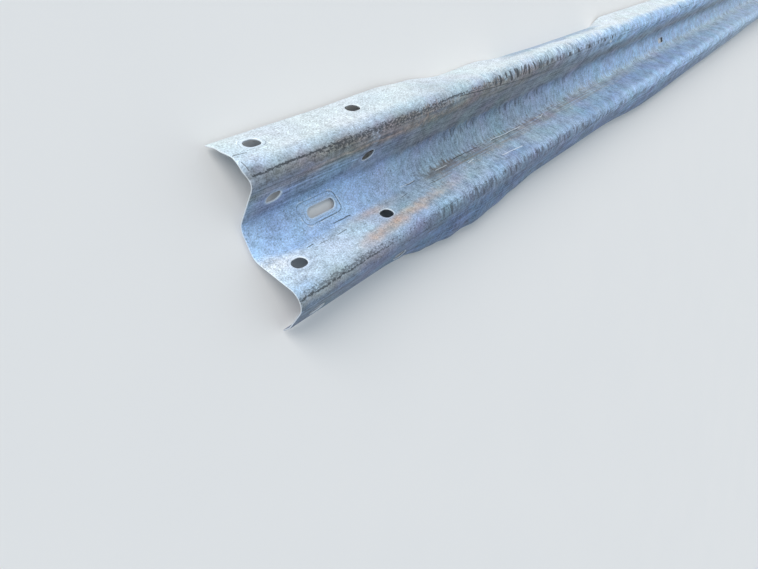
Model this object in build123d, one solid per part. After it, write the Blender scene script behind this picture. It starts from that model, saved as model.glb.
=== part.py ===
from build123d import *
import math
import os

# W-beam highway guardrail panel, one roll-formed steel sheet, millimetres.
# +X runs along the rail, +Y across it towards the upper edge, +Z out of the traffic face.
# The panel lies on its back: z = 0 is the back of the valley, which bears on a post or the
# floor, and x = 0 is halfway between the ends. The near end is at -X.

# Panel and sheet
PANEL_LENGTH = 4128.0
PANEL_WIDTH = 312.0
SECTION_DEPTH = 83.0
SHEET = 2.67

# Section. Every bend has one inner radius, and each edge is a lip, a little steeper than its flange.
CREST_SPACING = 194.0
BEND_RADIUS = 24.0
WEB_ANGLE = 55.0
LIP_TURN = 15.0
LIP_RUN = 20.0

# Bolt slots. Two panels lap until the slots at their ends lie over each other on a post.
END_SLOT_INSET = 159.0
POST_SLOT_LENGTH = 63.5
POST_SLOT_WIDTH = 19.0
SPLICE_COLUMN_PITCH = 216.0
SPLICE_SLOT_LENGTH = 29.0
SPLICE_SLOT_WIDTH = 23.0
FLANGE_SLOT_INSET = 43.0
PUNCH_REACH = 12.0

# Damage: distance from the near end, and how many degrees steeper the flange hangs there than
# it was rolled. The upper flange is pressed down in two steps and springs back at once, and
# the lower one is flared out in two long waves.
UPPER_BENDS = [
    (200, 0),
    (375, -2.5),
    (455, 0.5),
    (590, 10),
    (720, 8),
    (850, 14.5),
    (1070, 17),
    (1390, 17),
    (1495, 0),
]
LOWER_BENDS = [
    (230, 0),
    (300, -3),
    (365, -12),
    (400, -14.5),
    (450, -20),
    (490, -19),
    (540, -22.5),
    (640, -19),
    (740, -14),
    (860, -9),
    (1320, -9),
    (1720, -20),
    (2600, -14),
    (3100, -10.5),
    (3800, 0),
]
BEND_STEP = 3.0

NODE = "w_beam_rail"


def turned(angle):
    """Unit vector along the sheet where it climbs at this angle, in the section's own plane."""
    return Vector(math.cos(math.radians(angle)), math.sin(math.radians(angle)))


def normal(angle):
    """Unit vector out of the traffic face where the sheet climbs at this angle."""
    return Vector(-math.sin(math.radians(angle)), math.cos(math.radians(angle)))


# Bends follow the sheet's middle, so both faces share their centres
MIDDLE_RADIUS = BEND_RADIUS + SHEET / 2
VALLEY_Z = SHEET / 2
CREST_CENTRE = Vector(CREST_SPACING / 2, SECTION_DEPTH - SHEET / 2 - MIDDLE_RADIUS)
WEB_TOP = CREST_CENTRE + normal(WEB_ANGLE) * MIDDLE_RADIUS
WEB_FOOT_Z = VALLEY_Z + MIDDLE_RADIUS * (1 - math.cos(math.radians(WEB_ANGLE)))
WEB_RUN = (WEB_TOP.Y - WEB_FOOT_Z) / math.sin(math.radians(WEB_ANGLE))
WEB_FOOT = WEB_TOP - turned(WEB_ANGLE) * WEB_RUN
VALLEY_CENTRE = WEB_FOOT + normal(WEB_ANGLE) * MIDDLE_RADIUS

# The front corner of each edge is level with the middle of the valley's sheet, so that the edges
# reach down about as far as the back of the valley. That corner lies LIP_CORNER.Y outside the
# line through the centres of the crest bend and the lip bend, which runs along the flange.
LIP_CORNER = normal(-LIP_TURN) * (MIDDLE_RADIUS + SHEET / 2) + turned(-LIP_TURN) * LIP_RUN
CORNER_REACH = Vector(PANEL_WIDTH / 2, SHEET / 2) - CREST_CENTRE
CORNER_SLOPE = math.degrees(math.atan2(-CORNER_REACH.Y, CORNER_REACH.X))
FLANGE_ANGLE = CORNER_SLOPE + math.degrees(math.asin(LIP_CORNER.Y / CORNER_REACH.length))
FLANGE_RUN = CORNER_REACH.dot(turned(-FLANGE_ANGLE)) - LIP_CORNER.X
# Developed lengths of the lip with its bend, and from the top of the crest to the lip's bend,
# which a bent flange keeps
LIP_LENGTH = LIP_RUN + MIDDLE_RADIUS * math.radians(LIP_TURN)
CREST_TO_LIP = FLANGE_RUN + MIDDLE_RADIUS * math.radians(FLANGE_ANGLE)


def half_face_line(offset, flange_angle):
    """One face of the half section, from the middle of the valley to the edge."""
    flange_run = CREST_TO_LIP - MIDDLE_RADIUS * math.radians(flange_angle)
    valley_flat = Line((0, VALLEY_Z + offset), (VALLEY_CENTRE.X, VALLEY_Z + offset))
    valley = JernArc(valley_flat @ 1, valley_flat % 1, MIDDLE_RADIUS - offset, WEB_ANGLE)
    web = Line(valley @ 1, valley @ 1 + turned(WEB_ANGLE) * WEB_RUN)
    crest = JernArc(web @ 1, turned(WEB_ANGLE), MIDDLE_RADIUS + offset, -WEB_ANGLE - flange_angle)
    flange = Line(crest @ 1, crest @ 1 + turned(-flange_angle) * flange_run)
    lip_bend = JernArc(flange @ 1, turned(-flange_angle), MIDDLE_RADIUS + offset, -LIP_TURN)
    lip = Line(lip_bend @ 1, lip_bend @ 1 + turned(-flange_angle - LIP_TURN) * LIP_RUN)
    return [valley_flat, valley, web, crest, flange, lip_bend, lip]


def half_section(flange_angle):
    """Front line, edge and back line of the half section."""
    front = half_face_line(SHEET / 2, flange_angle)
    back = half_face_line(-SHEET / 2, flange_angle)
    edge = Line(front[-1] @ 1, back[-1] @ 1)
    return [*front, edge, *back]


def section_at(distance):
    """The W section as one face, at a distance from the near end."""
    upper = half_section(FLANGE_ANGLE + bend_at(UPPER_BENDS, distance))
    lower = half_section(FLANGE_ANGLE + bend_at(LOWER_BENDS, distance))
    lines = [*upper, *[line.mirror(Plane.YZ) for line in lower]]
    return Plane.YZ.offset(distance - PANEL_LENGTH / 2) * make_face(lines)


def bend_at(bends, distance):
    """Degrees that the flange is bent by at a distance from the near end, eased between stations."""
    if distance <= bends[0][0]:
        return bends[0][1]
    for (start, before), (end, after) in zip(bends, bends[1:]):
        if distance <= end:
            share = (distance - start) / (end - start)
            return before + (after - before) * (1 - math.cos(math.pi * share)) / 2
    return bends[-1][1]


def bend_stations():
    """Distances at which the bent stretch gets a section: each listed one, and as many between
    them as keep either flange from turning by more than BEND_STEP from one to the next."""
    listed = sorted({distance for distance, _ in UPPER_BENDS + LOWER_BENDS})
    stations = [listed[0]]
    for start, end in zip(listed, listed[1:]):
        turns = [abs(bend_at(bends, end) - bend_at(bends, start)) for bends in (UPPER_BENDS, LOWER_BENDS)]
        steps = max(1, math.ceil(max(turns) / BEND_STEP))
        stations += [start + (end - start) * step / steps for step in range(1, steps + 1)]
    return stations


def rail_blank():
    """The section rolled out to the panel's length, with its bent stretch lofted. The loft is
    ruled from section to section, because a smooth one swings wide where a flange starts to bend."""
    stations = bend_stations()
    near_run = extrude(section_at(0), stations[0], dir=(1, 0, 0))
    bent_run = loft([section_at(distance) for distance in stations], ruled=True)
    far_run = extrude(section_at(stations[-1]), PANEL_LENGTH - stations[-1], dir=(1, 0, 0))
    return near_run + bent_run + far_run


def punch(x, y, z, climb, length, width):
    """A slot-shaped punch that stands square to the sheet where it climbs at this angle."""
    plane = Plane(origin=(x, y, z), x_dir=(1, 0, 0), z_dir=(0, normal(climb).X, normal(climb).Y))
    slot = plane * SlotOverall(length, width)
    return extrude(slot, PUNCH_REACH, both=True)


END_SLOT_X = PANEL_LENGTH / 2 - END_SLOT_INSET


def post_punches():
    """Punches for the slots in the valley: at the middle of each lap, and at mid-length."""
    places = (-END_SLOT_X, 0, END_SLOT_X)
    return [punch(x, 0, VALLEY_Z, 0, POST_SLOT_LENGTH, POST_SLOT_WIDTH) for x in places]


def splice_punches():
    """Punches for both webs and both flanges, in two columns at each end."""
    web_slot = WEB_FOOT + turned(WEB_ANGLE) * (WEB_RUN / 2)
    flange_top = CREST_CENTRE + normal(-FLANGE_ANGLE) * MIDDLE_RADIUS
    flange_slot = flange_top + turned(-FLANGE_ANGLE) * (FLANGE_RUN + LIP_LENGTH - FLANGE_SLOT_INSET)
    punches = []
    for end in (-1, 1):
        for column in (-1, 1):
            x = end * END_SLOT_X + column * SPLICE_COLUMN_PITCH / 2
            for side in (-1, 1):
                for place, climb in ((web_slot, WEB_ANGLE), (flange_slot, -FLANGE_ANGLE)):
                    punches.append(
                        punch(x, side * place.X, place.Y, side * climb, SPLICE_SLOT_LENGTH, SPLICE_SLOT_WIDTH)
                    )
    return punches


def rail():
    """The finished panel with its slots punched."""
    return rail_blank() - post_punches() - splice_punches()


print(f"web {WEB_ANGLE:.1f} deg, flange {FLANGE_ANGLE:.1f} deg, valley flat {2 * VALLEY_CENTRE.X:.1f}")
os.makedirs("parts", exist_ok=True)
export_step(rail(), f"parts/{NODE}.step")
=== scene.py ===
import math

import bpy
import numpy as np
from mathutils import Matrix, Vector


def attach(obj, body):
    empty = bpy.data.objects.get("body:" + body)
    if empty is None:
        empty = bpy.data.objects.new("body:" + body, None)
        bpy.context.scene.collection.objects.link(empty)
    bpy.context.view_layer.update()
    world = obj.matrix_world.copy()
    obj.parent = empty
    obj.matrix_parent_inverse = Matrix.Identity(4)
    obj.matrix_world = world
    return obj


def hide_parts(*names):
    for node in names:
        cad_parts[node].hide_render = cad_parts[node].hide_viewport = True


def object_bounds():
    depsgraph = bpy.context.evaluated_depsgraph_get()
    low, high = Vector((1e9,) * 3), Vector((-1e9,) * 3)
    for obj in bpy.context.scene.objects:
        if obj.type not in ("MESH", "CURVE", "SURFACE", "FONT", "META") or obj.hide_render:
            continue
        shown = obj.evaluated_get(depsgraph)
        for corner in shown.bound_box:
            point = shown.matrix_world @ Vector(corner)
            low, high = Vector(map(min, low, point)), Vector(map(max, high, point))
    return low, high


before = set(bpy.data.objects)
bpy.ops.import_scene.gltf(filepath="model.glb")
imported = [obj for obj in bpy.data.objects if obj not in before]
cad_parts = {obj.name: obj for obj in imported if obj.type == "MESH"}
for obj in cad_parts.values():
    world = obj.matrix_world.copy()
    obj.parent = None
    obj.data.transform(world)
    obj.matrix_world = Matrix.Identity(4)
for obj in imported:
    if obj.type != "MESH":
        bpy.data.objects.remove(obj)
cad_low, cad_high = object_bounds()

# The rail is one sheet of steel. A place on it is given by its distance from the near end and by
# its strip place: how far along the sheet, from the middle of the valley, towards the upper edge.
# Sizes are in metres and angles in degrees.
RAIL = "w_beam_rail"

# Panel and section
PANEL_LENGTH = cad_high.x - cad_low.x
SECTION_DEPTH = cad_high.z
PANEL_WIDTH = 0.312
SHEET = 0.00267
CREST_SPACING = 0.194
BEND_RADIUS = 0.024
WEB_ANGLE = 55.0
LIP_TURN = 15.0
LIP_RUN = 0.020

# Bolt slots
END_SLOT_INSET = 0.159
POST_SLOT_LENGTH = 0.0635
POST_SLOT_WIDTH = 0.019
SPLICE_COLUMN_PITCH = 0.216
SPLICE_SLOT_LENGTH = 0.029
SPLICE_SLOT_WIDTH = 0.023
FLANGE_SLOT_INSET = 0.043

# Bent flanges: distance from the near end, and degrees steeper than rolled
UPPER_BENDS = [
    (0.200, 0),
    (0.375, -2.5),
    (0.455, 0.5),
    (0.590, 10),
    (0.720, 8),
    (0.850, 14.5),
    (1.070, 17),
    (1.390, 17),
    (1.495, 0),
]
LOWER_BENDS = [
    (0.230, 0),
    (0.300, -3),
    (0.365, -12),
    (0.400, -14.5),
    (0.450, -20),
    (0.490, -19),
    (0.540, -22.5),
    (0.640, -19),
    (0.740, -14),
    (0.860, -9),
    (1.320, -9),
    (1.720, -20),
    (2.600, -14),
    (3.100, -10.5),
    (3.800, 0),
]

# Section, worked out along the middle of the sheet
MIDDLE_RADIUS = BEND_RADIUS + SHEET / 2
WEB = math.radians(WEB_ANGLE)
CREST_Y = CREST_SPACING / 2
CREST_Z = SECTION_DEPTH - SHEET / 2 - MIDDLE_RADIUS
WEB_FOOT_Z = SHEET / 2 + MIDDLE_RADIUS * (1 - math.cos(WEB))
WEB_RUN = (CREST_Z + MIDDLE_RADIUS * math.cos(WEB) - WEB_FOOT_Z) / math.sin(WEB)
VALLEY_HALF = CREST_Y - 2 * MIDDLE_RADIUS * math.sin(WEB) - WEB_RUN * math.cos(WEB)
LIP = math.radians(LIP_TURN)
LIP_CORNER = Vector((math.cos(LIP), -math.sin(LIP))) * LIP_RUN
LIP_CORNER += Vector((math.sin(LIP), math.cos(LIP))) * (MIDDLE_RADIUS + SHEET / 2)
EDGE_REACH = Vector((PANEL_WIDTH / 2 - CREST_Y, SHEET / 2 - CREST_Z))
FLANGE = math.atan2(-EDGE_REACH.y, EDGE_REACH.x) + math.asin(LIP_CORNER.y / EDGE_REACH.length)
FLANGE_RUN = EDGE_REACH.dot(Vector((math.cos(FLANGE), -math.sin(FLANGE)))) - LIP_CORNER.x

# Strip places, from the middle of the valley
WEB_FOOT = VALLEY_HALF + MIDDLE_RADIUS * WEB
WEB_TOP = WEB_FOOT + WEB_RUN
CREST = WEB_TOP + MIDDLE_RADIUS * WEB
FLANGE_TOP = CREST + MIDDLE_RADIUS * FLANGE
LIP_BEND = FLANGE_TOP + FLANGE_RUN
LIP_TOP = LIP_BEND + MIDDLE_RADIUS * LIP
EDGE = LIP_TOP + LIP_RUN
WEB_SLOT = WEB_FOOT + WEB_RUN / 2
FLANGE_SLOT = EDGE - FLANGE_SLOT_INSET

# Damage at the near end: the crest's last millimetres are folded down, and the flange bulges
# beside the fold. Each point is a strip place and how far the cut end lies behind its section.
CRUSH_LINE = [
    (0.124, 0.0),
    (0.131, 0.0032),
    (0.139, 0.0072),
    (0.148, 0.0087),
    (0.157, 0.0066),
    (0.167, 0.0),
    (0.175, -0.0034),
    (0.203, 0.0),
]
CRUSH_REACH = 0.0035
BULGE_REACH = 0.026

# Shallow waves, which die out towards the edges and the ends of the sheet: radians to a metre
# along the rail and across the sheet, and phase
WAVES = [
    (21.0, 14.0, 0.0),
    (8.3, -31.0, 1.7),
]
WAVE_DEPTH = 0.0005
WAVE_EDGE = 0.03
WAVE_END = 0.05

# Mesh: pitch of its lines along the rail, with how far two of them reach, and across the sheet
CRUSH_PITCH = 0.0012
END_PITCH = 0.0032
BENT_PITCH = 0.0055
BENT_REACH = 0.900
MIDDLE_PITCH = 0.009
MIDDLE_REACH = 1.600
SLOT_PITCH = 0.006
FAR_PITCH = 0.028
ARC_PITCH = 0.004
LIP_PITCH = 0.0025
FLAT_PITCH = 0.006
# Margin of the patch of mesh round a slot, rounding of cut edges, and width of a slot's rim
PATCH_MARGIN = 0.0045
EDGE_ROUND = 0.0006
RIM_WIDTH = 0.0022


def bend_at(bends, distance):
    """Radians that a flange is bent by, eased between its stations."""
    angle = np.full_like(distance, float(bends[-1][1]))
    angle[distance <= bends[0][0]] = bends[0][1]
    for (start, before), (end, after) in zip(bends, bends[1:]):
        inside = (distance > start) & (distance <= end)
        share = (distance[inside] - start) / (end - start)
        angle[inside] = before + (after - before) * (1 - np.cos(math.pi * share)) / 2
    return np.radians(angle)


def sheet_middle(distance, strip):
    """Points on the middle of the sheet, and unit vectors out of its traffic face there."""
    upper = FLANGE + bend_at(UPPER_BENDS, distance)
    lower = FLANGE + bend_at(LOWER_BENDS, distance)
    flange = np.where(strip > 0, upper, lower)
    side = np.where(strip < 0, -1.0, 1.0)
    s = np.abs(strip)
    valley_turn = np.clip((s - VALLEY_HALF) / MIDDLE_RADIUS, 0, WEB)
    web_run = np.clip(s - WEB_FOOT, 0, WEB_RUN)
    crest_turn = np.clip((s - WEB_TOP) / MIDDLE_RADIUS, 0, WEB + flange)
    flange_top = CREST + MIDDLE_RADIUS * flange
    flange_run = np.clip(s - flange_top, 0, LIP_BEND - flange_top)
    lip_turn = np.clip((s - LIP_BEND) / MIDDLE_RADIUS, 0, LIP)
    lip_run = np.clip(s - LIP_TOP, 0, LIP_RUN)
    climb = valley_turn - crest_turn - lip_turn
    y = np.minimum(s, VALLEY_HALF) + MIDDLE_RADIUS * np.sin(valley_turn)
    y += web_run * math.cos(WEB) + MIDDLE_RADIUS * (math.sin(WEB) - np.sin(WEB - crest_turn))
    y += flange_run * np.cos(flange) + lip_run * np.cos(flange + LIP)
    y += MIDDLE_RADIUS * (np.sin(flange + lip_turn) - np.sin(flange))
    z = SHEET / 2 + MIDDLE_RADIUS * (1 - np.cos(valley_turn)) + web_run * math.sin(WEB)
    z += MIDDLE_RADIUS * (np.cos(WEB - crest_turn) - math.cos(WEB)) - flange_run * np.sin(flange)
    z -= MIDDLE_RADIUS * (np.cos(flange) - np.cos(flange + lip_turn)) + lip_run * np.sin(flange + LIP)
    points = np.stack([distance - PANEL_LENGTH / 2, side * y, z], axis=1)
    normals = np.stack([np.zeros_like(s), -side * np.sin(climb), np.cos(climb)], axis=1)
    return points, normals


def lines_between(marks, pitches):
    """Places from the first mark to the last, evenly stepped between each two."""
    places = [marks[0]]
    for low, high, pitch in zip(marks, marks[1:], pitches):
        steps = max(1, round((high - low) / pitch))
        places += [low + (high - low) * step / steps for step in range(1, steps + 1)]
    return np.array(places)


def slots():
    """Every bolt slot: distance, strip place, length, width."""
    found = []
    near, far = END_SLOT_INSET, PANEL_LENGTH - END_SLOT_INSET
    for distance in (near, PANEL_LENGTH / 2, far):
        found.append((distance, 0.0, POST_SLOT_LENGTH, POST_SLOT_WIDTH))
    for end in (near, far):
        for column in (-1, 1):
            for strip in (WEB_SLOT, -WEB_SLOT, FLANGE_SLOT, -FLANGE_SLOT):
                distance = end + column * SPLICE_COLUMN_PITCH / 2
                found.append((distance, strip, SPLICE_SLOT_LENGTH, SPLICE_SLOT_WIDTH))
    return found


def patch_half(length, width):
    """Half sizes of the rectangle of mesh that holds a slot."""
    half_width = VALLEY_HALF if width == POST_SLOT_WIDTH else width / 2 + PATCH_MARGIN
    return length / 2 + PATCH_MARGIN, half_width


def grid_lines():
    """Distances and strip places of the mesh's lines, dense where the sheet bends or is punched."""
    marks = [0.0, EDGE_ROUND]
    pitches = [EDGE_ROUND]

    def run_to(mark, pitch):
        marks.append(mark)
        pitches.append(pitch)

    post = patch_half(POST_SLOT_LENGTH, POST_SLOT_WIDTH)[0]
    splice = patch_half(SPLICE_SLOT_LENGTH, SPLICE_SLOT_WIDTH)[0]
    columns = (-SPLICE_COLUMN_PITCH / 2, 0.0, SPLICE_COLUMN_PITCH / 2)
    run_to(CRUSH_REACH, CRUSH_PITCH)
    for column, half in zip(columns, (splice, post, splice)):
        run_to(END_SLOT_INSET + column - half, END_PITCH)
        run_to(END_SLOT_INSET + column + half, END_PITCH)
    run_to(BENT_REACH, BENT_PITCH)
    run_to(MIDDLE_REACH, MIDDLE_PITCH)
    run_to(PANEL_LENGTH / 2 - post, 2 * MIDDLE_PITCH)
    run_to(PANEL_LENGTH / 2 + post, SLOT_PITCH)
    for column, half in zip(columns, (splice, post, splice)):
        middle = PANEL_LENGTH - END_SLOT_INSET + column
        run_to(middle - half, FAR_PITCH if column < 0 else 2 * SLOT_PITCH)
        run_to(middle + half, SLOT_PITCH)
    run_to(PANEL_LENGTH - EDGE_ROUND, SLOT_PITCH)
    run_to(PANEL_LENGTH, EDGE_ROUND)
    along = lines_between(marks, pitches)

    half = patch_half(SPLICE_SLOT_LENGTH, SPLICE_SLOT_WIDTH)[1]
    places = [0.0, VALLEY_HALF, WEB_FOOT, WEB_SLOT - half, WEB_SLOT + half, WEB_TOP, CREST]
    places += [FLANGE_TOP, FLANGE_SLOT - half, FLANGE_SLOT + half, LIP_BEND, LIP_TOP]
    places += [EDGE - EDGE_ROUND, EDGE]
    steps = [FLAT_PITCH, ARC_PITCH, FLAT_PITCH, FLAT_PITCH, FLAT_PITCH, ARC_PITCH, ARC_PITCH]
    steps += [FLAT_PITCH, FLAT_PITCH, LIP_PITCH, LIP_PITCH, FLAT_PITCH, EDGE_ROUND]
    across = lines_between(places, steps)
    return along, np.concatenate([-across[:0:-1], across])


def sheet_layout():
    """The sheet laid flat: vertices as (distance, strip, rounding, rim), and its faces."""
    along, across = grid_lines()
    columns, rows = len(along), len(across)
    index = np.arange(columns * rows).reshape(columns, rows)
    distance, strip = np.meshgrid(along, across, indexing="ij")
    rounding = np.zeros((columns, rows))
    rounding[[0, -1], :] = EDGE_ROUND
    rounding[:, [0, -1]] = EDGE_ROUND
    rim = np.zeros((columns, rows))
    rim[[0, -1], :] = 1.0
    rim[:, [0, -1]] = 1.0
    vertices = [np.stack([a.ravel() for a in (distance, strip, rounding, rim)], axis=1)]
    count = columns * rows
    keep = np.ones((columns - 1, rows - 1), bool)
    faces = []
    for middle, place, length, width in slots():
        half_length, half_width = patch_half(length, width)
        left, right = [np.abs(along - middle - k * half_length).argmin() for k in (-1, 1)]
        low, high = [np.abs(across - place - k * half_width).argmin() for k in (-1, 1)]
        keep[left:right, low:high] = False
        loop = [index[i, low] for i in range(left, right)]
        loop += [index[right, j] for j in range(low, high)]
        loop += [index[i, high] for i in range(right, left, -1)]
        loop += [index[left, j] for j in range(high, low, -1)]
        border = vertices[0][loop, :2] - (middle, place)
        spine = np.zeros_like(border)
        straight = (length - width) / 2
        spine[:, 0] = np.clip(border[:, 0], -straight, straight)
        out = border - spine
        out /= np.linalg.norm(out, axis=1)[:, None]
        outer = np.array(loop)
        for gap in (RIM_WIDTH, EDGE_ROUND, 0.0):
            ring = np.zeros((len(loop), 4))
            ring[:, :2] = spine + out * (width / 2 + gap) + (middle, place)
            ring[:, 2] = EDGE_ROUND if gap == 0.0 else 0.0
            ring[:, 3] = 0.0 if gap == RIM_WIDTH else 1.0
            vertices.append(ring)
            inner = np.arange(count, count + len(loop))
            count += len(loop)
            faces.append(np.stack([outer, np.roll(outer, -1), np.roll(inner, -1), inner], axis=1))
            outer = inner
    i, j = np.nonzero(keep)
    faces.append(np.stack([index[i, j], index[i + 1, j], index[i + 1, j + 1], index[i, j + 1]], axis=1))
    vertices, faces = np.concatenate(vertices), np.concatenate(faces)
    used = np.unique(faces)
    renumber = np.zeros(len(vertices), int)
    renumber[used] = np.arange(len(used))
    return vertices[used], renumber[faces]


def border_edges(faces):
    """Edges that only one face has, in that face's own direction."""
    edges = np.concatenate([np.stack([faces[:, k], faces[:, (k + 1) % 4]], axis=1) for k in range(4)])
    undirected = np.sort(edges, axis=1)
    _, first, counts = np.unique(undirected, axis=0, return_index=True, return_counts=True)
    return edges[first[counts == 1]]


def dents(distance, strip):
    """How far the sheet lies behind its section: shallow waves, and the fold at the crest's end."""
    waves = np.full_like(distance, WAVE_DEPTH)
    for along, across, phase in WAVES:
        waves *= 0.5 + 0.5 * np.sin(distance * along + strip * across + phase)
    waves *= np.clip((EDGE - np.abs(strip)) / WAVE_EDGE, 0, 1)
    waves *= np.clip(np.minimum(distance, PANEL_LENGTH - distance) / WAVE_END, 0, 1)
    crush = np.interp(strip, *zip(*CRUSH_LINE))
    crush *= np.clip(1 - distance / np.where(crush > 0, CRUSH_REACH, BULGE_REACH), 0, 1)
    return waves + crush


def build_rail():
    """The rail as one closed mesh, with both faces, rounded edges and slot rims."""
    layout, faces = sheet_layout()
    distance, strip, rounding, rim = layout.T
    middle, normal = sheet_middle(distance, strip)
    middle = middle - normal * dents(distance, strip)[:, None]
    offset = normal * (SHEET / 2 - rounding)[:, None]
    count = len(layout)
    border = border_edges(faces)
    walls = np.stack([border[:, 1], border[:, 0], border[:, 0] + count, border[:, 1] + count], axis=1)
    quads = np.concatenate([faces, faces[:, ::-1] + count, walls])
    mesh = bpy.data.meshes.new("weathered_rail")
    mesh.from_pydata(np.concatenate([middle + offset, middle - offset]), [], quads.tolist())
    side = np.repeat((1.0, -1.0), count)
    place = np.stack([np.tile(distance, 2), np.tile(strip, 2), side], axis=1).astype(np.float32)
    mesh.attributes.new("strip", "FLOAT_VECTOR", "POINT").data.foreach_set("vector", place.ravel())
    rims = np.tile(rim, 2).astype(np.float32)
    mesh.attributes.new("rim", "FLOAT", "POINT").data.foreach_set("value", rims)
    mesh.shade_smooth()
    mesh.validate()
    rail = bpy.data.objects.new("weathered_rail", mesh)
    bpy.context.scene.collection.objects.link(rail)
    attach(rail, "root")
    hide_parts(RAIL)
    return rail


class Graph:
    """A material's nodes. Values may be numbers, colours or the outputs of other nodes."""

    def __init__(self, name):
        self.material = bpy.data.materials.new(name)
        self.material.use_nodes = True
        self.tree = self.material.node_tree
        self.shader = self.tree.nodes["Principled BSDF"]

    def put(self, socket, value):
        if isinstance(value, bpy.types.NodeSocket):
            self.tree.links.new(value, socket)
        elif socket.type == "RGBA" and len(value) == 3:
            socket.default_value = (*value, 1.0)
        else:
            socket.default_value = value

    def node(self, kind, inputs=(), **settings):
        made = self.tree.nodes.new(kind)
        for name, value in settings.items():
            setattr(made, name, value)
        for key, value in dict(inputs).items():
            self.put(made.inputs[key], value)
        return made

    def math(self, operation, *values, clamp=False):
        made = self.node("ShaderNodeMath", enumerate(values), operation=operation, use_clamp=clamp)
        return made.outputs[0]

    def times(self, *values):
        product = values[0]
        for value in values[1:]:
            product = self.math("MULTIPLY", product, value)
        return product

    def largest(self, *values):
        found = values[0]
        for value in values[1:]:
            found = self.math("MAXIMUM", found, value)
        return found

    def sway(self, value, pattern, amount):
        """The value, moved either way by up to half the amount, as the pattern goes."""
        return self.math("MULTIPLY_ADD", pattern, amount, self.math("SUBTRACT", value, amount / 2))

    def vector(self, x, y, z=0.0):
        return self.node("ShaderNodeCombineXYZ", enumerate((x, y, z))).outputs[0]

    def ease(self, value, low, high, bottom=0.0, top=1.0):
        """Goes smoothly from bottom at low to top at high."""
        inputs = enumerate((value, low, high, bottom, top))
        return self.node("ShaderNodeMapRange", inputs, interpolation_type="SMOOTHSTEP").outputs[0]

    def band(self, value, low, high, soft):
        """1 from low to high, with soft shoulders outside."""
        rise = self.ease(value, low - soft, low)
        return self.times(rise, self.ease(value, high, high + soft, 1.0, 0.0))

    def noise(self, vector, scale=1.0, detail=3.0, roughness=0.55, distortion=0.0):
        inputs = {"Vector": vector, "Scale": scale, "Detail": detail, "Roughness": roughness}
        inputs["Distortion"] = distortion
        return self.node("ShaderNodeTexNoise", inputs).outputs[0]

    def ramp(self, value, stops):
        """A colour that goes from tone to tone. A stop is a value and its tone."""
        low, high = stops[0][0], stops[-1][0]
        share = self.math("DIVIDE", self.math("SUBTRACT", value, low), high - low, clamp=True)
        made = self.node("ShaderNodeValToRGB", {0: share})
        elements = made.color_ramp.elements
        for place, tone in stops[1:-1]:
            elements.new((place - low) / (high - low)).color = (*tone, 1.0)
        elements[0].color, elements[-1].color = (*stops[0][1], 1.0), (*stops[-1][1], 1.0)
        return made.outputs[0]

    def mix(self, share, first, second, blend="MIX"):
        made = self.node("ShaderNodeMix", data_type="RGBA", blend_type=blend)
        for key, value in ((0, share), (6, first), (7, second)):
            self.put(made.inputs[key], value)
        return made.outputs[2]


# Tones of the weathered coat, from the brightest to the darkest. Some of them hold painted reflection of a
# blue sky, and one partly painted shade
BARE = (0.86, 0.90, 0.92)
OXIDE = (0.72, 0.79, 0.83)
CHALK = (0.64, 0.76, 0.88)
# Zinc with painted reflection of a blue sky, for the valley
ZINC_AND_SKY_REFLECTION = (0.47, 0.66, 0.92)
# Painted sheen of a blue sky: on both webs far along, and in two spots at the near end
PAINTED_SKY_SHEEN = (0.43, 0.62, 0.87)
MIST = (0.50, 0.61, 0.70)
PALE = (0.43, 0.51, 0.58)
TAN = (0.60, 0.46, 0.37)
# Painted reflection of a blue sky, used by the lower crest
PAINTED_SKY_BLUE = (0.35, 0.48, 0.66)
DULL = (0.34, 0.45, 0.57)
BLUE_FILM = (0.32, 0.41, 0.55)
RAIN = (0.29, 0.36, 0.46)
STEEL = (0.24, 0.355, 0.53)
FILM = (0.31, 0.335, 0.365)
DIRT = (0.30, 0.28, 0.265)
SLATE = (0.195, 0.25, 0.345)
# Partly a dark film and partly painted shade, for the lower flange that faces away from the light
SHADE = (0.14, 0.215, 0.35)
SMUDGE = (0.17, 0.16, 0.16)
SOOT = (0.035, 0.042, 0.052)

# Uneven patterns, as features to a metre, from the broadest to the finest. The last three are
# drawn out, and have one number along the rail and one across the sheet.
WANDER_SCALE = 9.0
TINT_SCALE = 14.0
CLOUD_SCALE = 24.0
RIPPLE_SCALE = 45.0
BLOTCH_SCALE = 80.0
SPANGLE_SCALE = 120.0
GRAIN_SCALE = 330.0
DRAWN_SCALES = (5.0, 210.0)
STREAK_SCALES = (150.0, 50.0)
SPECK_SCALES = (170.0, 300.0)

# Below, an ease is where it starts and ends, and then its values there unless they are 0 and 1.
# A band is its two sides and the width of its soft shoulders. A run is an ease or a band along
# the rail, and a strip is one across the sheet.

# How far the patterns move the places that marks and coat are laid out by. The coat wanders both
# ways, and runs down in drips.
SCRATCH_RIPPLE = 0.006
COAT_WANDER = 0.026
COAT_RIPPLE = 0.016
RUN_WANDER = 0.16
DRIP_LENGTH_RUN = (0.25, 0.5, 0.0, 0.060)
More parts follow.
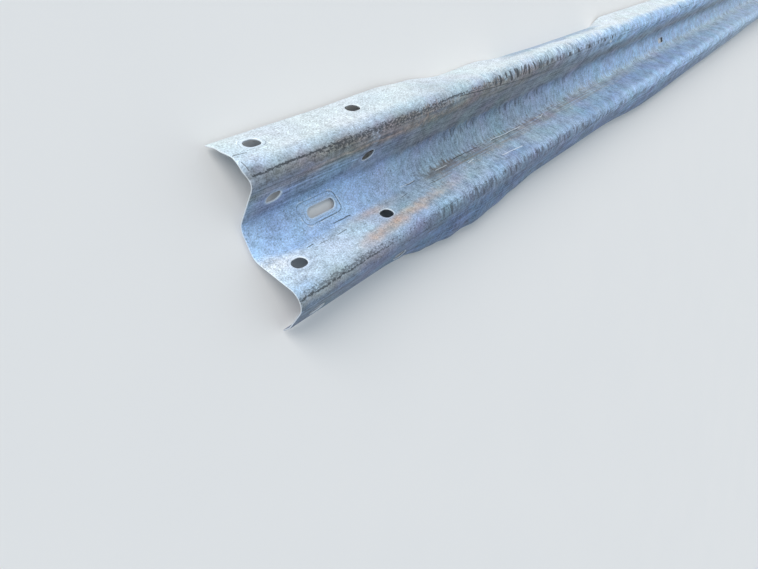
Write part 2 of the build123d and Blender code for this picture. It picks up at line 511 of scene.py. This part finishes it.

# The coat across the sheet, as strip places and tones: at the near end, where dirt lies thickest, and far
# along. Its blue bands are partly painted reflection of a blue sky.
NEAR_COAT = [
    (-0.149, SLATE),
    (-0.138, FILM),
    (-0.122, PALE),
    (-0.108, CHALK),
    (-0.064, CHALK),
    (-0.040, ZINC_AND_SKY_REFLECTION),
    (0.020, ZINC_AND_SKY_REFLECTION),
    (0.045, BLUE_FILM),
    (0.080, BLUE_FILM),
    (0.100, FILM),
    (0.136, FILM),
    (0.145, MIST),
    (0.164, OXIDE),
]
DIRTY_COAT = [
    (-0.170, SHADE),
    (-0.140, SLATE),
    (-0.122, PAINTED_SKY_BLUE),
    (-0.098, DULL),
    (0.008, DULL),
    (0.028, BLUE_FILM),
    (0.040, FILM),
    (0.100, FILM),
    (0.132, RAIN),
    (0.145, MIST),
    (0.164, OXIDE),
]
# Far along, the blue on both webs is partly painted reflection of a blue sky at a grazing angle
FAR_COAT = [
    (-0.200, SHADE),
    (-0.158, STEEL),
    (-0.145, PAINTED_SKY_SHEEN),
    (-0.127, PAINTED_SKY_SHEEN),
    (-0.112, STEEL),
    (-0.068, STEEL),
    (-0.030, MIST),
    (-0.010, ZINC_AND_SKY_REFLECTION),
    (0.014, ZINC_AND_SKY_REFLECTION),
    (0.036, DULL),
    (0.062, FILM),
    (0.090, DULL),
    (0.112, PAINTED_SKY_SHEEN),
    (0.144, PAINTED_SKY_SHEEN),
    (0.165, OXIDE),
]
# Where one coat turns to the next. The lower half turns dirty sooner by its lead.
DIRTY_RUN = (0.20, 0.48)
FAR_RUN = (0.70, 1.65)
LEAD_STRIP = (-0.060, -0.030, 0.12, 0.0)
# The coat is duller past the photograph's edge. On the flange where it is pressed down, its outer part
# gets painted shade
GUESSED_RUN = (2.0, 3.2, 0.0, 0.35)
BEND_SHADE_STRIP = (0.180, 0.202)
BEND_SHADE_RUN = (0.88, 1.30, 0.12)
BEND_SHADE_DEPTH = 0.9

# Dirt under the upper crest, with a place where it is washed off (middle and radii)
UPPER_DIRT_STRIP = (0.100, 0.130, 0.008)
UPPER_DIRT_START_RUN = (0.02, 0.16)
UPPER_DIRT_END_RUN = (0.6, 1.4, 1.0, 0.0)
WASHED_PATCH = ((0.268, 0.112), (0.016, 0.022))
WASHED_DEPTH = 0.45
# A rusty line in it, drawn dark lines on the upper web, and dirt at the foot of the lower web
RUSTY_STRIP = (0.106, 0.110, 0.004)
RUSTY_RUN = (0.12, 0.50, 0.10)
DARK_LINES_STRIP = (0.040, 0.122, 0.010)
DARK_LINES_RUN = (0.22, 0.5, 0.0, 0.45)
LOWER_DIRT_STRIP = (-0.062, -0.038, 0.014)
LOWER_DIRT_START_RUN = (0.36, 0.50)
LOWER_DIRT_END_RUN = (0.9, 2.1, 0.8, 0.1)
# Smudges: middle, radii, tone and depth
SMUDGES = [
    ((0.500, -0.040), (0.055, 0.012), SMUDGE, 0.90),
    ((0.600, -0.046), (0.040, 0.006), SMUDGE, 0.50),
    # These two only darken the lower crest in long patches
    ((0.700, -0.108), (0.090, 0.014), STEEL, 0.80),
    ((1.200, -0.114), (0.160, 0.016), STEEL, 0.80),
    ((0.006, 0.137), (0.012, 0.005), SMUDGE, 0.80),
    ((0.040, 0.112), (0.110, 0.011), SLATE, 0.75),
    ((0.062, 0.056), (0.032, 0.010), SMUDGE, 0.30),
    ((0.254, 0.064), (0.014, 0.012), SMUDGE, 0.45),
    ((0.240, -0.056), (0.034, 0.007), TAN, 0.45),
    ((0.235, -0.054), (0.080, 0.012), TAN, 0.28),
    ((0.010, -0.056), (0.045, 0.020), BARE, 0.90),
    # Painted sky reflection at the near end, by the lower crest
    ((0.010, -0.120), (0.050, 0.013), PAINTED_SKY_SHEEN, 0.60),
    ((0.500, 0.164), (0.080, 0.034), PALE, 0.60),
    # Painted sky reflection at the near end of the upper flange
    ((0.000, 0.170), (0.060, 0.040), PAINTED_SKY_SHEEN, 0.30),
]
SMUDGE_SOFTNESS = 0.7
# The tan stain on the lower web: strip place at the near end, how much it climbs to a metre, and
# its band about that line
STAIN_START = -0.1235
STAIN_CLIMB = 0.075
STAIN_STRIP = (0.000, 0.003, 0.018)
STAIN_START_RUN = (0.12, 0.20)
STAIN_END_RUN = (0.22, 0.60, 1.0, 0.0)

# Brightness of the coat, and how much its patterns change it
COAT_LEVEL = 0.87
DARKEST_LEVEL = 0.35
CLOUD_RUN = (0.3, 1.6, 0.5, 1.1)
BLOTCH_DEPTH = 1.2
GRAIN_DEPTH = 1.8
SPANGLE_DEPTH = 0.16
TINT_DEPTH = 0.25
# Streaks, as drips across the valley and the lower half, and across the upper crest
DRIP_STRIP = (-0.215, 0.030, 0.025)
DRIP_RUN = (0.15, 0.55, 0.2, 1.4)
UPPER_DRIP_STRIP = (0.108, 0.150, 0.020)
UPPER_DRIP_RUN = (0.70, 1.05, 0.0, 1.2)
# Drawn lines on the upper web and the lower flange. Clouds and blotches are stronger there, and
# weaker on the upper flange.
DRAWN_WEB_STRIP = (0.045, 0.125, 0.015)
DRAWN_FLANGE_STRIP = (-0.150, -0.138, 1.0, 0.0)
DRAWN_RUN = (0.4, 0.8, 1.8, 2.3)
CALM_FLANGE_STRIP = (0.145, 0.160, 1.0, 0.6)

# Soot on both crests, each a line and a wider patch of specks: the strip place where they are
# densest, and their reach to both sides
UPPER_LINE = (0.1345, 0.0045)
UPPER_PATCH = (0.1310, 0.0180)
LOWER_LINE = (-0.1335, 0.0055)
LOWER_PATCH = (-0.1290, 0.0140)
LINE_SWAY = 0.006
SPECK_EDGE = (1.40, 1.56)
# How densely the specks lie. What a band of more specks adds follows the band.
UPPER_LINE_DENSITY = 0.30
CRISP_RUNS = ((0.01, 0.18, 0.03), (0.46, 0.52, 0.06))
CRISP_DENSITY = 0.40
UPPER_PATCH_RUN = (0.9, 1.9, 0.20, 0.05)
NEAR_PATCH_RUN = (0.16, 0.45, 0.06)
NEAR_PATCH_DENSITY = 0.36
LATER_PATCH_RUN = (0.58, 0.70, 0.06)
LATER_PATCH_SHARE = 0.6
LOWER_LINE_RUN = (0.14, 0.30, 0.60, 0.34)
LOWER_PATCH_RUN = (0.3, 1.6, 0.38, 0.18)
LOWER_END_RUN = (0.04, 0.15, 0.04)
LOWER_END_DENSITY = 0.18
UPPER_PATCH_DEPTH = 0.9
LOWER_PATCH_DEPTH = 0.7

# Rows of ticks across the sheet, painted shade of small dents in the soot tone: low and high strip place,
# pitch, phase, and the runs that they start and end with
UPPER_TICKS = ((0.124, 0.141), 0.0095, 1.0, (0.58, 0.70), (0.84, 0.96, 1.0, 0.0))
UPPER_DOTS = ((0.124, 0.131), 0.0110, 2.0, (0.84, 0.92), (1.36, 1.44, 1.0, 0.0))
LOWER_TICKS = ((-0.146, -0.130), 0.0110, 7.0, (0.28, 0.40), (1.1, 1.8, 0.62, 0.124))
VALLEY_TICKS = ((0.016, 0.034), 0.0090, 4.0, (0.44, 0.56), (0.9, 1.5, 0.55, 0.055))
# The lower ticks drift towards their flange
DRIFT_RUN = (0.80, 1.40, 0.0, 0.012)
# Patterns that make the ticks lean and reach unevenly, as features to a metre, and by how much
LEAN_SCALE = 22.0
LEAN = 5.0
REACH_SCALE = 70.0
REACH = 0.024
REACH_PHASE = 3.0
TICK_LENGTH_SCALE = 20.0
TICK_EDGE = (0.52, 0.565)
TICK_DEPTH = (0.34, 0.56, 0.30, 1.0)
TICK_SOFTNESS = 0.003

# Outlines that washers have left round the near post slot: middle, half sizes, corner radius and
# lean. Round a splice slot: half sizes and corner radius.
OUTER_WASHER = ((0.156, 0.0015), (0.0430, 0.0215), 0.012, 0.28)
INNER_WASHER = ((0.158, 0.0), (0.0365, 0.0150), 0.012, 0.10)
SPLICE_WASHER = ((0.0200, 0.0170), 0.0165)
WASHER_SWAY = 0.005
DARK_LINE = 0.0005
THIN_LINE = 0.0004
FAINT_LINE = 0.0003
LINE_SOFTNESS = 0.0009
BRIGHT_LINE_GAP = 0.0022

# How deeply the marks cover the coat
SOOT_DEPTH = 0.85
TICKS_DEPTH = 0.94
DARK_SCRATCH_DEPTH = 0.90
PALE_SCRATCH_DEPTH = 0.70
# This also sets how strongly cut edges get a painted highlight
RIM_DEPTH = 0.6

# Gloss and bump
METALLIC = 0.25
ROUGHNESS = (0.2, 1.1, 0.50, 0.72)
BUMP_STRENGTH = 0.5
BUMP_DISTANCE = 0.0004

# Scratches: both ends, as (distance, strip place), and half width
DARK_SCRATCHES = [
    ((0.167, -0.0365), (0.208, -0.0375), 0.0011),
    ((0.086, -0.0555), (0.099, -0.0545), 0.0010),
    ((0.150, -0.0625), (0.172, -0.0620), 0.0007),
    ((0.108, -0.0615), (0.128, -0.0620), 0.0005),
    ((0.372, -0.0370), (0.400, -0.0375), 0.0011),
    ((0.330, -0.0580), (0.350, -0.0575), 0.0006),
    ((0.002, 0.1755), (0.026, 0.1770), 0.0007),
    # This one is no scratch: a dark line along the crease where the crest's end is folded down
    ((0.004, 0.1420), (0.004, 0.1600), 0.0006),
    ((0.420, -0.0630), (0.447, -0.0640), 0.0006),
    ((0.700, -0.0385), (0.820, -0.0455), 0.0009),
    ((0.540, -0.0340), (0.640, -0.0350), 0.0010),
    ((0.520, 0.1310), (0.715, 0.1175), 0.0008),
    ((0.715, 0.1175), (0.945, 0.1000), 0.0005),
    ((0.945, 0.1000), (1.195, 0.0725), 0.0004),
    # These two are painted shade of a small dent in the upper crest, which the mesh does not have
    ((2.062, 0.1390), (2.066, 0.1360), 0.0045),
    ((2.066, 0.1360), (2.110, 0.0980), 0.0012),
]
PALE_SCRATCHES = [
    ((0.354, -0.0350), (0.398, -0.0358), 0.0006),
    ((0.470, -0.0390), (0.510, -0.0400), 0.0008),
    ((0.700, -0.0360), (0.760, -0.0400), 0.0010),
    ((0.760, -0.0400), (0.838, -0.0430), 0.0010),
    ((0.932, -0.0400), (0.944, -0.0460), 0.0012),
    ((0.944, -0.0460), (0.968, -0.0420), 0.0010),
    ((0.663, -0.0930), (0.748, -0.0990), 0.0009),
    ((0.560, -0.0640), (0.585, -0.0620), 0.0009),
    ((1.345, 0.1160), (1.362, 0.1110), 0.0030),
]


class Place:
    """Where a point lies on the sheet, and the uneven patterns that all of its layers share."""

    def __init__(self, g):
        named = g.node("ShaderNodeAttribute", attribute_name="strip").outputs["Vector"]
        parts = g.node("ShaderNodeSeparateXYZ", {0: named}).outputs
        self.x, self.s, side = parts[0], parts[1], parts[2]
        self.front = g.ease(side, -0.2, 0.2)
        self.rim = g.node("ShaderNodeAttribute", attribute_name="rim").outputs["Fac"]
        whole = g.vector(self.x, self.s, side)
        self.wander = g.noise(whole, WANDER_SCALE, detail=4.0)
        self.ripple = g.noise(whole, RIPPLE_SCALE, detail=4.0)
        self.cloud = g.noise(whole, CLOUD_SCALE, detail=4.0, roughness=0.6)
        self.blotch = g.noise(whole, BLOTCH_SCALE, detail=6.0, roughness=0.8)
        self.grain = g.noise(whole, GRAIN_SCALE, roughness=0.7)
        tints = {"Vector": whole, "Scale": TINT_SCALE, "Detail": 3.0}
        self.tint = g.node("ShaderNodeTexNoise", tints).outputs["Color"]
        streaked = self.stretched(g, STREAK_SCALES, side)
        self.streak = g.noise(streaked, detail=4.0, roughness=0.6, distortion=0.5)
        self.drawn = g.noise(self.stretched(g, DRAWN_SCALES, side), detail=4.0, distortion=0.2)
        self.speck = g.noise(self.stretched(g, SPECK_SCALES, 0.0), detail=4.0, roughness=0.65)
        cells = g.node("ShaderNodeTexVoronoi", {"Vector": whole, "Scale": SPANGLE_SCALE})
        self.spangle = g.node("ShaderNodeSeparateColor", {0: cells.outputs["Color"]}).outputs[0]
        self.rippled = g.vector(self.x, g.sway(self.s, self.ripple, SCRATCH_RIPPLE))
        wandering = g.sway(g.sway(self.s, self.wander, COAT_WANDER), self.ripple, COAT_RIPPLE)
        drip = g.times(g.math("SUBTRACT", self.streak, 0.5), g.ease(self.x, *DRIP_LENGTH_RUN))
        self.ws = g.math("ADD", wandering, drip)
        self.wx = g.sway(self.x, self.wander, RUN_WANDER)

    def stretched(self, g, scales, side):
        """The place with its own scale along the rail and across the sheet."""
        return g.vector(g.times(self.x, scales[0]), g.times(self.s, scales[1]), side)


def spot(g, at, middle, radii):
    """A soft-edged oval patch."""
    across = g.math("DIVIDE", g.math("SUBTRACT", at.wx, middle[0]), radii[0])
    up = g.math("DIVIDE", g.math("SUBTRACT", at.ws, middle[1]), radii[1])
    gap = g.math("SQRT", g.math("ADD", g.times(across, across), g.times(up, up)))
    return g.ease(gap, 1 - SMUDGE_SOFTNESS, 1 + SMUDGE_SOFTNESS, 1.0, 0.0)


def coat(g, at):
    """The zinc in its bands, blended along the rail, with painted sky reflection in its blue bands and
    painted shade on the pressed flange.
    """
    lead = g.ease(at.ws, *LEAD_STRIP)
    dirty = g.ease(g.math("ADD", at.wx, lead), *DIRTY_RUN)
    colour = g.mix(dirty, g.ramp(at.ws, NEAR_COAT), g.ramp(at.ws, DIRTY_COAT))
    colour = g.mix(g.ease(at.wx, *FAR_RUN), colour, g.ramp(at.ws, FAR_COAT))
    colour = g.mix(g.ease(at.x, *GUESSED_RUN), colour, MIST)
    # Painted shade on the outer flange, where its bend turns it from the light
    bend_shade = g.times(g.ease(at.ws, *BEND_SHADE_STRIP), g.band(at.wx, *BEND_SHADE_RUN))
    return g.mix(g.times(bend_shade, BEND_SHADE_DEPTH), colour, DULL)


def dirt(g, at, colour):
    """Dirt on both webs, and then the smudges."""
    upper = g.times(g.band(at.ws, *UPPER_DIRT_STRIP), g.ease(at.wx, *UPPER_DIRT_START_RUN))
    upper = g.times(upper, g.ease(at.wx, *UPPER_DIRT_END_RUN), g.ease(at.drawn, 0.32, 0.58, 0.35, 0.95))
    washed = g.times(spot(g, at, *WASHED_PATCH), g.ease(at.blotch, 0.35, 0.6))
    colour = g.mix(g.times(upper, g.math("SUBTRACT", 1.0, washed)), colour, DIRT)
    colour = g.mix(g.times(washed, WASHED_DEPTH), colour, MIST)
    rusty = g.times(g.band(at.ws, *RUSTY_STRIP), g.band(at.wx, *RUSTY_RUN))
    colour = g.mix(g.times(rusty, g.ease(at.blotch, 0.35, 0.60, 0.3, 0.6)), colour, TAN)
    lines = g.times(g.ease(at.drawn, 0.50, 0.66), g.band(at.ws, *DARK_LINES_STRIP))
    colour = g.mix(g.times(lines, g.ease(at.wx, *DARK_LINES_RUN)), colour, SMUDGE)
    lower = g.times(g.band(at.ws, *LOWER_DIRT_STRIP), g.ease(at.wx, *LOWER_DIRT_START_RUN))
    lower = g.times(lower, g.ease(at.wx, *LOWER_DIRT_END_RUN), g.ease(at.drawn, 0.34, 0.64))
    colour = g.mix(lower, colour, DIRT)
    for middle, radii, tone, depth in SMUDGES:
        depth = g.times(depth, g.ease(at.blotch, 0.30, 0.60, 0.4, 1.0))
        colour = g.mix(g.times(spot(g, at, middle, radii), depth), colour, tone)
    return colour


def stain(g, at, colour):
    """The tan stain on the lower web, which fades along the rail."""
    climbed = g.math("SUBTRACT", at.ws, g.math("MULTIPLY_ADD", at.x, STAIN_CLIMB, STAIN_START))
    depth = g.times(g.ease(at.wx, *STAIN_START_RUN), g.ease(at.wx, *STAIN_END_RUN))
    depth = g.times(depth, g.ease(at.cloud, 0.38, 0.60, 0.6, 1.0), g.ease(at.blotch, 0.30, 0.62, 0.7, 1.0))
    return g.mix(g.times(g.band(climbed, *STAIN_STRIP), depth), colour, TAN)


def mottle(g, at, colour):
    """Light and dark in the coat: broad clouds, blotches, drips across it, drawn lines and grain."""
    drips = g.times(g.band(at.s, *DRIP_STRIP), g.ease(at.wx, *DRIP_RUN))
    upper_drips = g.times(g.band(at.s, *UPPER_DRIP_STRIP), g.ease(at.wx, *UPPER_DRIP_RUN))
    drawn = g.largest(g.band(at.s, *DRAWN_WEB_STRIP), g.ease(at.s, *DRAWN_FLANGE_STRIP))
    uneven = g.math("ADD", drawn, g.ease(at.s, *CALM_FLANGE_STRIP))
    layers = [
        (at.cloud, g.times(uneven, g.ease(at.x, *CLOUD_RUN))),
        (at.blotch, g.times(uneven, BLOTCH_DEPTH)),
        (at.grain, GRAIN_DEPTH),
        (at.spangle, SPANGLE_DEPTH),
        (at.streak, g.largest(drips, upper_drips)),
        (at.drawn, g.times(drawn, g.ease(at.x, *DRAWN_RUN))),
    ]
    level = COAT_LEVEL
    for pattern, depth in layers:
        level = g.math("ADD", level, g.times(g.math("SUBTRACT", pattern, 0.5), depth))
    level = g.largest(level, DARKEST_LEVEL)
    colour = g.mix(TINT_DEPTH, colour, at.tint, blend="SOFT_LIGHT")
    return g.mix(1.0, colour, level, blend="MULTIPLY")


def specks(g, at, s, line, density):
    """Dark specks, dense at a line along the rail and sparse away from it."""
    place, reach = line
    gap = g.math("ABSOLUTE", g.math("SUBTRACT", s, place))
    cover = g.times(g.ease(gap, 0.0, reach, 1.0, 0.0), density)
    return g.ease(g.math("MULTIPLY_ADD", at.speck, 2.0, cover), *SPECK_EDGE)


def soot(g, at):
    """Soot that the crests have picked up in the stack, as one mask."""
    s = g.sway(at.s, at.wander, -LINE_SWAY)
    density = g.largest(*[g.band(at.wx, *run) for run in CRISP_RUNS])
    density = g.math("MULTIPLY_ADD", density, CRISP_DENSITY, UPPER_LINE_DENSITY)
    line = specks(g, at, s, UPPER_LINE, density)
    later = g.times(g.band(at.wx, *LATER_PATCH_RUN), LATER_PATCH_SHARE)
    density = g.times(g.largest(g.band(at.wx, *NEAR_PATCH_RUN), later), NEAR_PATCH_DENSITY)
    density = g.math("ADD", density, g.ease(at.wx, *UPPER_PATCH_RUN))
    patch = g.times(specks(g, at, s, UPPER_PATCH, density), UPPER_PATCH_DEPTH)
    s = g.sway(at.s, at.wander, LINE_SWAY)
    lower_line = specks(g, at, s, LOWER_LINE, g.ease(at.wx, *LOWER_LINE_RUN))
    density = g.times(g.band(at.wx, *LOWER_END_RUN), LOWER_END_DENSITY)
    density = g.math("ADD", density, g.ease(at.wx, *LOWER_PATCH_RUN))
    lower_patch = g.times(specks(g, at, s, LOWER_PATCH, density), LOWER_PATCH_DEPTH)
    return g.largest(line, patch, lower_line, lower_patch)


def comb(g, at, s, row):
    """A row of short ticks across the sheet, uneven in pitch, length, lean and depth."""
    (low, high), pitch, phase, start_run, end_run = row
    wander = g.noise(g.vector(at.x, phase), LEAN_SCALE, detail=2.0)
    reach = g.noise(g.vector(at.x, phase + REACH_PHASE), REACH_SCALE, detail=1.0)
    up = g.math("SUBTRACT", s, (low + high) / 2)
    leaning = g.math("ADD", at.x, g.times(g.math("SUBTRACT", wander, 0.5), up, LEAN))
    rows = g.vector(g.times(leaning, 1 / pitch), g.times(s, TICK_LENGTH_SCALE), phase)
    stroke = g.ease(g.noise(rows, detail=1.0), *TICK_EDGE)
    inside = g.band(g.sway(s, reach, REACH), low, high, TICK_SOFTNESS)
    along = g.times(g.ease(at.wx, *start_run), g.ease(at.wx, *end_run))
    return g.times(stroke, g.ease(reach, *TICK_DEPTH), inside, along)


def ticks(g, at):
    """All rows of ticks, as one mask."""
    drifted = g.math("ADD", at.s, g.ease(at.x, *DRIFT_RUN))
    rows = [comb(g, at, at.s, row) for row in (UPPER_TICKS, UPPER_DOTS, VALLEY_TICKS)]
    return g.largest(*rows, comb(g, at, drifted, LOWER_TICKS))


def washer_mark(g, x, s, middle, halves, corner, lean=0.0):
    """Distance from a rounded rectangle on the sheet, less than 0 inside it."""
    px = g.math("ABSOLUTE", g.math("SUBTRACT", g.math("MULTIPLY_ADD", s, lean, x), middle[0]))
    ps = g.math("ABSOLUTE", g.math("SUBTRACT", s, middle[1]))
    qx = g.largest(g.math("SUBTRACT", px, halves[0] - corner), 0.0)
    qs = g.largest(g.math("SUBTRACT", ps, halves[1] - corner), 0.0)
    gap = g.math("SQRT", g.math("ADD", g.times(qx, qx), g.times(qs, qs)))
    return g.math("SUBTRACT", gap, corner)


def outline(g, mark, half_width):
    """A line along the rectangle that a washer mark measures from."""
    return g.ease(g.math("ABSOLUTE", mark), half_width, half_width + LINE_SOFTNESS, 1.0, 0.0)


def washer_marks(g, at, colour):
    """The outlines that washers have left round the near post slot and the slots beside it."""
    x, s = g.sway(at.x, at.blotch, WASHER_SWAY), g.sway(at.s, at.ripple, WASHER_SWAY)
    mark = washer_mark(g, x, s, *OUTER_WASHER)
    colour = g.mix(g.times(g.ease(mark, -0.006, -0.001, 1.0, 0.0), 0.22), colour, CHALK)
    dark = g.times(outline(g, mark, DARK_LINE), g.ease(at.blotch, 0.36, 0.56, 0.2, 1.0))
    worn = g.ease(g.math("SUBTRACT", s, x), -0.18, -0.13, 0.85, 0.45)
    colour = g.mix(g.times(dark, worn), colour, SOOT)
    bright = outline(g, g.math("SUBTRACT", mark, BRIGHT_LINE_GAP), THIN_LINE)
    colour = g.mix(g.times(bright, g.ease(at.ripple, 0.44, 0.6), 0.7), colour, BARE)
    inner = outline(g, washer_mark(g, x, s, *INNER_WASHER), THIN_LINE)
    colour = g.mix(g.times(inner, g.ease(at.blotch, 0.42, 0.58), 0.7), colour, SLATE)
    first = END_SLOT_INSET - SPLICE_COLUMN_PITCH / 2
    for middle in ((first, WEB_SLOT), (first, -WEB_SLOT), (first, FLANGE_SLOT)):
        ring = washer_mark(g, x, s, middle, *SPLICE_WASHER)
        colour = g.mix(g.times(g.ease(ring, -0.003, 0.0, 1.0, 0.0), 0.35), colour, CHALK)
        dark = g.times(outline(g, ring, FAINT_LINE), g.ease(at.ripple, 0.42, 0.60))
        colour = g.mix(g.times(dark, 0.55), colour, SLATE)
    return colour


def scratch(g, place, start, end, half_width):
    """A thin line from start to end on the sheet."""
    start, run = Vector((*start, 0.0)), Vector((*end, 0.0)) - Vector((*start, 0.0))
    offset = g.node("ShaderNodeVectorMath", {0: place, 1: start}, operation="SUBTRACT").outputs[0]
    inputs = {0: offset, 1: run / run.length_squared}
    share = g.node("ShaderNodeVectorMath", inputs, operation="DOT_PRODUCT").outputs["Value"]
    share = g.math("ADD", share, 0.0, clamp=True)
    nearest = g.node("ShaderNodeVectorMath", {0: run, "Scale": share}, operation="SCALE").outputs[0]
    inputs = {0: offset, 1: nearest}
    gap = g.node("ShaderNodeVectorMath", inputs, operation="DISTANCE").outputs["Value"]
    return g.ease(gap, half_width * 0.5, half_width * 1.6, 1.0, 0.0)


def scratches(g, at, lines):
    """All these scratches as one mask, on the traffic face alone."""
    mask = g.largest(*[scratch(g, at.rippled, *line) for line in lines])
    return g.times(mask, at.front, g.ease(at.grain, 0.3, 0.5, 0.6, 1.0))


def galvanised(name):
    """Weathered zinc on the rail, with painted sky reflection, shade and highlight, laid out by the strip
    place.
    """
    g = Graph(name)
    at = Place(g)
    colour = mottle(g, at, stain(g, at, dirt(g, at, coat(g, at))))
    colour = g.mix(g.times(soot(g, at), SOOT_DEPTH), colour, SOOT)
    # The ticks are painted shade of small dents, in the soot tone
    colour = g.mix(g.times(ticks(g, at), TICKS_DEPTH), colour, SOOT)
    colour = washer_marks(g, at, colour)
    colour = g.mix(g.times(scratches(g, at, DARK_SCRATCHES), DARK_SCRATCH_DEPTH), colour, SOOT)
    colour = g.mix(g.times(scratches(g, at, PALE_SCRATCHES), PALE_SCRATCH_DEPTH), colour, BARE)
    # Cut edges brightened towards the bare tone: partly bare metal, partly painted highlight
    colour = g.mix(g.times(at.rim, RIM_DEPTH), colour, BARE)
    g.put(g.shader.inputs["Base Color"], colour)
    g.shader.inputs["Metallic"].default_value = METALLIC

    # The marks stay out of the bump, which reads its height three times over and makes the shader
    # too big with them
    unevenness = g.math("ADD", g.times(at.spangle, 0.4), at.blotch)
    g.put(g.shader.inputs["Roughness"], g.ease(unevenness, *ROUGHNESS))
    height = g.math("ADD", g.times(at.grain, 0.5), g.times(at.streak, 0.3))
    inputs = {"Height": height, "Strength": BUMP_STRENGTH, "Distance": BUMP_DISTANCE}
    bump = g.node("ShaderNodeBump", inputs)
    g.put(g.shader.inputs["Normal"], bump.outputs[0])
    return g.material


# Camera, in the rail's own frame, with the photograph's angle of view
LENS = 24.06
SENSOR = 36.0
CAMERA_AT = Vector((-2.43923, 0.14089, 0.70723))
LOOK = Vector((0.61326, -0.33023, -0.71754))
CAMERA_UP = Vector((0.44868, 0.89326, -0.02763))


def add_camera():
    """The photograph's view of the rail."""
    data = bpy.data.cameras.new("camera")
    data.lens, data.sensor_width = LENS, SENSOR
    camera = bpy.data.objects.new("camera", data)
    bpy.context.scene.collection.objects.link(camera)
    back = -LOOK.normalized()
    right = CAMERA_UP.cross(back).normalized()
    turn = Matrix((right, back.cross(right), back)).transposed().to_4x4()
    camera.matrix_world = Matrix.Translation(CAMERA_AT) @ turn
    bpy.context.scene.camera = camera


# Floor, light and backdrop
FLOOR_HALF = 40.0
FLOOR_TONE = (0.84, 0.81, 0.78)
FLOOR_SPECK_TONE = (0.7, 0.7, 0.7)
FLOOR_SPECK_SCALE = 3.0
FLOOR_SPECK_DEPTH = 0.06
FLOOR_ROUGHNESS = 0.9
SKY_TONE = (0.74, 0.87, 1.0)
SKY_STRENGTH = 0.62
SUN_TONE = (1.0, 0.985, 0.96)
SUN_STRENGTH = 2.4
SUN_TOWARDS = (0.50, -0.74, -0.52)
SUN_SOFTNESS = 40
BACKDROP_TONE = (0.84, 0.86, 0.88)


def add_floor():
    """A plain pale floor, level with the lowest edge of the bent flange."""
    mesh = bpy.data.meshes.new("floor")
    signs = ((-1, -1), (1, -1), (1, 1), (-1, 1))
    corners = [(x * FLOOR_HALF, y * FLOOR_HALF, cad_low.z) for x, y in signs]
    mesh.from_pydata(corners, [], [(0, 1, 2, 3)])
    floor = bpy.data.objects.new("floor", mesh)
    bpy.context.scene.collection.objects.link(floor)
    g = Graph("pale_floor")
    place = g.node("ShaderNodeNewGeometry").outputs["Position"]
    speck = g.ease(g.noise(place, FLOOR_SPECK_SCALE, detail=5.0), 0.3, 0.7, 0.0, FLOOR_SPECK_DEPTH)
    tone = g.mix(speck, FLOOR_TONE, FLOOR_SPECK_TONE)
    g.put(g.shader.inputs["Base Color"], tone)
    g.shader.inputs["Roughness"].default_value = FLOOR_ROUGHNESS
    mesh.materials.append(g.material)


def add_key():
    """A broad lamp that shines evenly along the whole rail."""
    data = bpy.data.lights.new("key", "SUN")
    data.energy, data.color, data.angle = SUN_STRENGTH, SUN_TONE, math.radians(SUN_SOFTNESS)
    lamp = bpy.data.objects.new("key", data)
    lamp.rotation_mode = "QUATERNION"
    lamp.rotation_quaternion = Vector(SUN_TOWARDS).to_track_quat("-Z", "Y")
    bpy.context.scene.collection.objects.link(lamp)


def add_studio():
    """An even sky that lights the rail, and the pale backdrop that the camera and metal see."""
    world = bpy.data.worlds.new("studio")
    bpy.context.scene.world = world
    world.use_nodes = True
    nodes, links = world.node_tree.nodes, world.node_tree.links
    light = nodes["Background"]
    light.inputs[0].default_value = (*SKY_TONE, 1.0)
    light.inputs[1].default_value = SKY_STRENGTH
    shown = nodes.new("ShaderNodeBackground")
    shown.inputs[0].default_value = (*BACKDROP_TONE, 1.0)
    path = nodes.new("ShaderNodeLightPath")
    seen = path.outputs["Is Camera Ray"]
    for ray in ("Is Glossy Ray", "Is Transmission Ray"):
        either = nodes.new("ShaderNodeMath")
        either.operation = "MAXIMUM"
        links.new(seen, either.inputs[0])
        links.new(path.outputs[ray], either.inputs[1])
        seen = either.outputs[0]
    choose = nodes.new("ShaderNodeMixShader")
    links.new(seen, choose.inputs[0])
    links.new(light.outputs[0], choose.inputs[1])
    links.new(shown.outputs[0], choose.inputs[2])
    links.new(choose.outputs[0], nodes["World Output"].inputs[0])


rail = build_rail()
rail.data.materials.append(galvanised("weathered_zinc_and_painted_light"))
add_floor()
add_key()
add_studio()
add_camera()
bpy.context.scene.view_settings.view_transform = "Standard"
